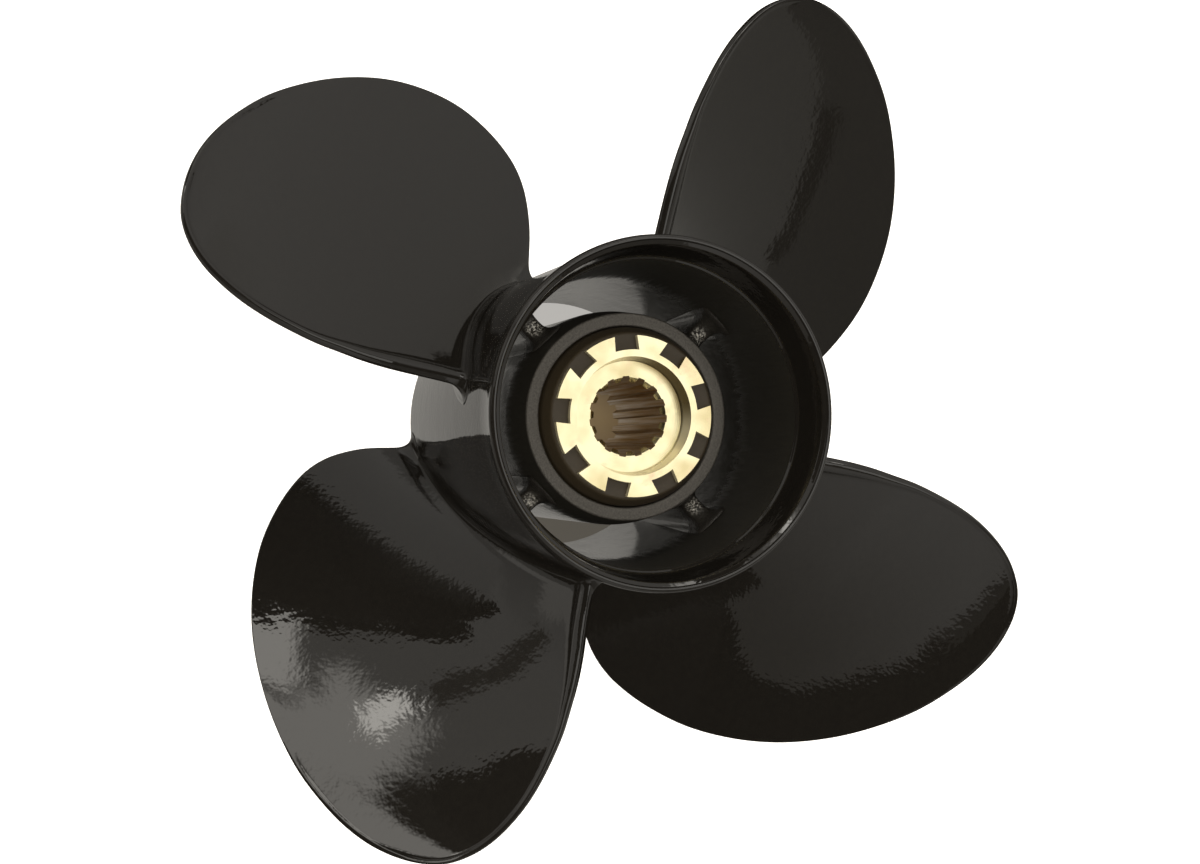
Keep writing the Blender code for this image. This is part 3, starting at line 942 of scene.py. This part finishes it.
# Brass sleeve: turned and broached, with nine dovetail teeth that grip the rubber, a washer seat
# in its aft face and fifteen splines in its bore.
SLEEVE_FRONT, SLEEVE_AFT = 5.0, 119.6
# Radii in mm, half widths and the place of the first tooth and groove in degrees.
TOOTH_COUNT = 9
TOOTH_TIP, TOOTH_ROOT = 28.1, 23.1
TOOTH_TIP_HALF, TOOTH_ROOT_HALF = 11.6, 9.2
TOOTH_FIRST = 117.6
TIP_STEPS, VALLEY_STEPS = 12, 9
SPLINE_COUNT = 15
SPLINE_FIRST = 22.7
SPLINE_MAJOR, SPLINE_MINOR = 14.2, 12.2
SPLINE_END = 52.0
# Half widths of a spline groove, as shares of the pitch: its floor, its flanks and the land.
GROOVE_FLOOR = (-0.2, -0.07, 0.07, 0.2)
GROOVE_FLANK, GROOVE_LAND = 0.31, 0.40
BORE_CLEARANCE, BORE_STEPS = 0.3, 96
SEAT_MOUTH, SEAT_FLOOR, SEAT_DEPTH = 20.7, 19.5, 7.4
LEAD_IN, LEAD_IN_DEPTH = 13.8, 3.0
CONE_STEPS = 144
BROKEN_EDGE = 0.22
# How far cutters reach beyond what they cut, and how far the two of the bore overlap.
OVERSHOOT, OVERLAP = 2.0, 0.05
# The painted dark reflection in the seat: the way it lies from the shaft, and the radii where
# it starts and is full. The wall of the seat starts at the radii after that, and lies deeper
# than this under the aft face.
DARK_SECTOR_ANGLE = 160.0
DARK_SECTOR_FROM, DARK_SECTOR_TO = 16.5, 20.3
WALL_FROM, WALL_TO = 19.5, 19.8
FACE_DEPTH = 0.3
# The broached bore lies inside this radius and this far below the seat. Painted shade darkens
# the corners of the seat: its mouth's and its floor's out to these widths, and over this height.
BROACHED_RADIUS, BROACHED_BELOW = 14.6, 1.55
MOUTH_CORNER_SHADE, FLOOR_CORNER_SHADE, CORNER_SHADE_HEIGHT = 0.2, 0.25, 0.25


def prism(name, outline, low, high):
    """A flat outline of points in mm, filled and extruded from one height to another."""
    bpy.ops.mesh.primitive_circle_add(
        vertices=len(outline), radius=0.01, fill_type="NGON", location=(0.0, 0.0, 0.0)
    )
    piece = bpy.context.object
    piece.name = piece.data.name = name
    for vert, (x, y) in zip(piece.data.vertices, outline):
        vert.co = Vector((x, y, low)) * MM
    bpy.ops.object.mode_set(mode="EDIT")
    bpy.ops.mesh.select_all(action="SELECT")
    climb = (0.0, 0.0, (high - low) * MM)
    bpy.ops.mesh.extrude_region_move(TRANSFORM_OT_translate={"value": climb})
    bpy.ops.mesh.select_all(action="SELECT")
    bpy.ops.mesh.normals_make_consistent(inside=False)
    bpy.ops.object.mode_set(mode="OBJECT")
    return piece


def round_point(radius, degrees):
    """The flat point at a radius and an angle round the shaft."""
    return radius * math.cos(math.radians(degrees)), radius * math.sin(math.radians(degrees))


def toothed_outline(clearance):
    """Outline of the sleeve with its dovetail teeth, grown by a clearance."""
    pitch = 360.0 / TOOTH_COUNT
    tip, root = TOOTH_TIP + clearance, TOOTH_ROOT + clearance
    tip_half = TOOTH_TIP_HALF + math.degrees(clearance / tip)
    root_half = TOOTH_ROOT_HALF + math.degrees(clearance / root)
    valley = pitch - 2 * root_half
    half_steps = TIP_STEPS // 2
    outline = []
    for tooth in range(TOOTH_COUNT):
        middle = TOOTH_FIRST + tooth * pitch
        outline.append(round_point(root, middle - root_half))
        for step in range(-half_steps, half_steps + 1):
            outline.append(round_point(tip, middle + step / half_steps * tip_half))
        outline.append(round_point(root, middle + root_half))
        for step in range(1, VALLEY_STEPS):
            outline.append(round_point(root, middle + root_half + step / VALLEY_STEPS * valley))
    return outline


def splined_outline():
    """Outline of the splined bore."""
    pitch = 360.0 / SPLINE_COUNT
    outline = []
    for groove in range(SPLINE_COUNT):
        middle = SPLINE_FIRST + groove * pitch
        outline.append(round_point(SPLINE_MINOR, middle - GROOVE_LAND * pitch))
        outline.append(round_point(SPLINE_MINOR, middle - GROOVE_FLANK * pitch))
        outline += [round_point(SPLINE_MAJOR, middle + share * pitch) for share in GROOVE_FLOOR]
        outline.append(round_point(SPLINE_MINOR, middle + GROOVE_FLANK * pitch))
        outline.append(round_point(SPLINE_MINOR, middle + GROOVE_LAND * pitch))
    return outline


def cone(name, lower_radius, upper_radius, low, high, beyond):
    """A cone frustum between two heights, drawn out beyond the upper one on the same slope."""
    longer = (high - low + beyond) / (high - low)
    top_radius = lower_radius + (upper_radius - lower_radius) * longer
    length = (high - low + beyond) * MM
    bpy.ops.object.select_all(action="DESELECT")
    bpy.ops.mesh.primitive_cone_add(
        vertices=CONE_STEPS,
        radius1=lower_radius * MM,
        radius2=top_radius * MM,
        depth=length,
        location=(0.0, 0.0, 0.0),
    )
    piece = bpy.context.object
    piece.name = piece.data.name = name
    piece.data.transform(Matrix.Translation((0.0, 0.0, low * MM + length / 2)))
    return piece


def cut_with(piece, cutter):
    """Cuts one piece out of another and removes the cutter."""
    select_only(piece)
    cut = piece.modifiers.new("cut", "BOOLEAN")
    cut.operation = "DIFFERENCE"
    cut.solver = "EXACT"
    cut.object = cutter
    bpy.ops.object.modifier_apply(modifier=cut.name)
    bpy.data.objects.remove(cutter, do_unlink=True)


sleeve = prism("toothed_sleeve", toothed_outline(0.0), SLEEVE_FRONT, SLEEVE_AFT)
cut_with(sleeve, prism("spline_cutter", splined_outline(), SPLINE_END, SLEEVE_AFT + OVERSHOOT))
plain_bore = []
for i in range(BORE_STEPS):
    plain_bore.append(round_point(SPLINE_MAJOR + BORE_CLEARANCE, 360.0 / BORE_STEPS * i))
bore_cutter = prism("bore_cutter", plain_bore, SLEEVE_FRONT - OVERSHOOT, SPLINE_END + OVERLAP)
cut_with(sleeve, bore_cutter)
seat_level = SLEEVE_AFT - SEAT_DEPTH
cut_with(sleeve, cone("seat_cutter", SEAT_FLOOR, SEAT_MOUTH, seat_level, SLEEVE_AFT, OVERSHOOT))
lead_in_level = seat_level - LEAD_IN_DEPTH
lead_in_foot = LEAD_IN - LEAD_IN_DEPTH
cut_with(sleeve, cone("lead_in_cutter", lead_in_foot, LEAD_IN, lead_in_level, seat_level, 1.0))
select_only(sleeve)
edges = sleeve.modifiers.new("broken edges", "BEVEL")
edges.width = BROKEN_EDGE * MM
edges.segments = 2
edges.limit_method = "ANGLE"
edges.angle_limit = math.radians(35.0)
bpy.ops.object.modifier_apply(modifier=edges.name)
bpy.ops.object.shade_smooth_by_angle(angle=math.radians(20.0))

# Turned brass: pale gold, with a mottled film of tarnish, pinkish spots and fine rings from the
# lathe. The wall of the seat is painted brighter and less metallic, as painted light, and a
# sector of the seat is painted darker, as a painted dark reflection.
brass, tree, shader = new_material("turned_brass", {"Metallic": 1.0, "Roughness": 0.26})
place = add_node(tree, "ShaderNodeTexCoord").outputs["Object"]
mottle = add_node(
    tree, "ShaderNodeTexNoise", {"Scale": 1 / (14.0 * MM), "Detail": 2.0}, {"Vector": place}
)
film = add_node(
    tree, "ShaderNodeMapRange", {"From Min": 0.42, "From Max": 0.68}, {"Value": mottle.outputs["Fac"]}
)
filmed = add_node(
    tree,
    "ShaderNodeMix",
    {"data_type": "RGBA", 6: linear("#d8cfab"), 7: linear("#bdb088")},
    {0: film.outputs[0]},
)
spots = add_node(
    tree,
    "ShaderNodeTexNoise",
    {"noise_dimensions": "4D", "Scale": 1 / (10.0 * MM), "Detail": 4.0, "W": 3.0},
    {"Vector": place},
)
in_spot = add_node(
    tree, "ShaderNodeMapRange", {"From Min": 0.6, "From Max": 0.74}, {"Value": spots.outputs["Fac"]}
)
spotted = add_node(
    tree,
    "ShaderNodeMix",
    {"data_type": "RGBA", 7: linear("#c2ab8c")},
    {0: in_spot.outputs[0], 6: filmed.outputs[2]},
)
level = add_node(tree, "ShaderNodeSeparateXYZ", links={0: place}).outputs["Z"]
below_face = add_node(
    tree, "ShaderNodeMath", {"operation": "LESS_THAN", 1: (SLEEVE_AFT - FACE_DEPTH) * MM}, {0: level}
)
crosswise, from_shaft = across_shaft(tree, place)
at_wall = add_node(
    tree,
    "ShaderNodeMapRange",
    {"From Min": WALL_FROM * MM, "From Max": WALL_TO * MM},
    {"Value": from_shaft},
)
on_wall = add_node(
    tree, "ShaderNodeMath", {"operation": "MULTIPLY"}, {0: at_wall.outputs[0], 1: below_face.outputs[0]}
)
# Painted light: the wall of the seat is painted a whiter, brighter brass and made less metallic.
painted_lit_wall = add_node(
    tree,
    "ShaderNodeMix",
    {"data_type": "RGBA", 7: linear("#fff3cb")},
    {0: on_wall.outputs[0], 6: spotted.outputs[2]},
)
metallic = add_node(
    tree, "ShaderNodeMapRange", {"To Min": 1.0, "To Max": 0.65}, {"Value": on_wall.outputs[0]}
)
tree.links.new(metallic.outputs[0], shader.inputs["Metallic"])
# Painted dark reflection: a sector of the seat is painted a darker, browner brass.
way = add_node(tree, "ShaderNodeVectorMath", {"operation": "NORMALIZE"}, {0: crosswise})
towards_dark_sector = add_node(
    tree,
    "ShaderNodeVectorMath",
    {"operation": "DOT_PRODUCT", 1: round_point(1.0, DARK_SECTOR_ANGLE) + (0.0,)},
    {0: way.outputs[0]},
)
in_sector = add_node(
    tree,
    "ShaderNodeMapRange",
    {"interpolation_type": "SMOOTHSTEP", "From Min": 0.6, "From Max": 0.93},
    {"Value": towards_dark_sector.outputs["Value"]},
)
outer_part = add_node(
    tree,
    "ShaderNodeMapRange",
    {"interpolation_type": "SMOOTHSTEP", "From Min": DARK_SECTOR_FROM * MM, "From Max": DARK_SECTOR_TO * MM},
    {"Value": from_shaft},
)
painted_dark_sector = add_node(
    tree,
    "ShaderNodeMath",
    {"operation": "MULTIPLY"},
    {0: in_sector.outputs[0], 1: outer_part.outputs[0]},
)
painted_dark_sector = add_node(
    tree, "ShaderNodeMath", {"operation": "MULTIPLY"}, {0: painted_dark_sector.outputs[0], 1: below_face.outputs[0]}
)
with_dark_sector = add_node(
    tree,
    "ShaderNodeMix",
    {"data_type": "RGBA", 7: linear("#87764f")},
    {0: painted_dark_sector.outputs[0], 6: painted_lit_wall.outputs[2]},
)
tree.links.new(with_dark_sector.outputs[2], shader.inputs["Base Color"])
lathe = add_node(tree, "ShaderNodeMath", {"operation": "DIVIDE", 1: 0.5 * MM}, {0: from_shaft})
rings = add_node(
    tree,
    "ShaderNodeTexNoise",
    {"noise_dimensions": "1D", "Scale": 1.0, "Detail": 2.0},
    {"W": lathe.outputs[0]},
)
turning_marks = add_node(
    tree, "ShaderNodeBump", {"Distance": 0.02 * MM}, {"Height": rings.outputs["Fac"]}
)
tree.links.new(turning_marks.outputs["Normal"], shader.inputs["Normal"])
sleeve.data.materials.append(brass)

# Broached brass in the bore: duller and browner, streaked along the splines.
broached, tree, shader = new_material("broached_brass", {"Metallic": 1.0, "Roughness": 0.45})
place = add_node(tree, "ShaderNodeTexCoord").outputs["Object"]
streaks = stretched_noise(tree, (0.9, 0.9, 35.0), 3.0)
contrast = add_node(
    tree, "ShaderNodeMapRange", {"From Min": 0.35, "From Max": 0.65}, {"Value": streaks}
)
level = add_node(tree, "ShaderNodeSeparateXYZ", links={0: place}).outputs["Z"]
in_splines = add_node(
    tree,
    "ShaderNodeMapRange",
    {"From Min": (SPLINE_END - 2.0) * MM, "From Max": (SPLINE_END + 2.0) * MM},
    {"Value": level},
)
streaked = add_node(
    tree,
    "ShaderNodeMath",
    {"operation": "MULTIPLY"},
    {0: contrast.outputs[0], 1: in_splines.outputs[0]},
)
tone = add_node(
    tree,
    "ShaderNodeMix",
    {"data_type": "RGBA", 6: linear("#d2b47c"), 7: linear("#faefe1")},
    {0: streaked.outputs[0]},
)
tree.links.new(tone.outputs[2], shader.inputs["Base Color"])
sleeve.data.materials.append(broached)

# Painted shade in the corners of the turning: olive brown, patchy and dull.
painted_corner_shade = mottled(
    "painted_shade_in_corners",
    {"Metallic": 0.6, "Roughness": 0.6},
    "#6b5d3c",
    "#a3925f",
    size=2.0,
    detail=2.0,
)
sleeve.data.materials.append(painted_corner_shade)

for face in sleeve.data.polygons:
    radius = math.hypot(face.center.x, face.center.y) / MM
    height = face.center.z / MM
    in_bore = radius < BROACHED_RADIUS and height < seat_level - BROACHED_BELOW
    at_mouth = abs(radius - SEAT_MOUTH) < MOUTH_CORNER_SHADE and height > SLEEVE_AFT - CORNER_SHADE_HEIGHT
    at_floor = abs(radius - SEAT_FLOOR) < FLOOR_CORNER_SHADE and height < seat_level + CORNER_SHADE_HEIGHT
    if in_bore:
        face.material_index = 1
    # Painted shade in the corners at the seat's mouth and floor.
    elif at_mouth or at_floor:
        face.material_index = 2
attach(sleeve, "root")
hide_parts("brass_sleeve")


# Rubber bush: moulded round the teeth of the sleeve and pressed into the inner hub, so that it
# gives way before the gears do.
BUSH_PROFILE = (
    (29.2, 117.2, 0.9),
    (31.4, 112.0, 1.0),
    (31.4, 12.0, 1.5),
    (18.0, 12.0, 0.5),
    (18.0, 117.2, 0.5),
)
BUSH_STEPS = 144
TOOTH_GAP = 0.12
CUT_FROM, CUT_TO = 2.0, 125.0

bush = turned("moulded_bush", BUSH_PROFILE, BUSH_STEPS)
cut_with(bush, prism("tooth_cutter", toothed_outline(TOOTH_GAP), CUT_FROM, CUT_TO))
bpy.ops.object.shade_smooth_by_angle(angle=math.radians(SHARP_TURN))
# Moulded black rubber: warm brown-black and matt, with the fine bloom of an oily, aged skin.
rubber = mottled(
    "black_rubber",
    {"Roughness": 0.6},
    "#211c13",
    "#30281c",
    size=0.8,
    detail=4.0,
    bump=(0.5, 0.03),
)
bush.data.materials.append(rubber)
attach(bush, "root")
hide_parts("rubber_bush")
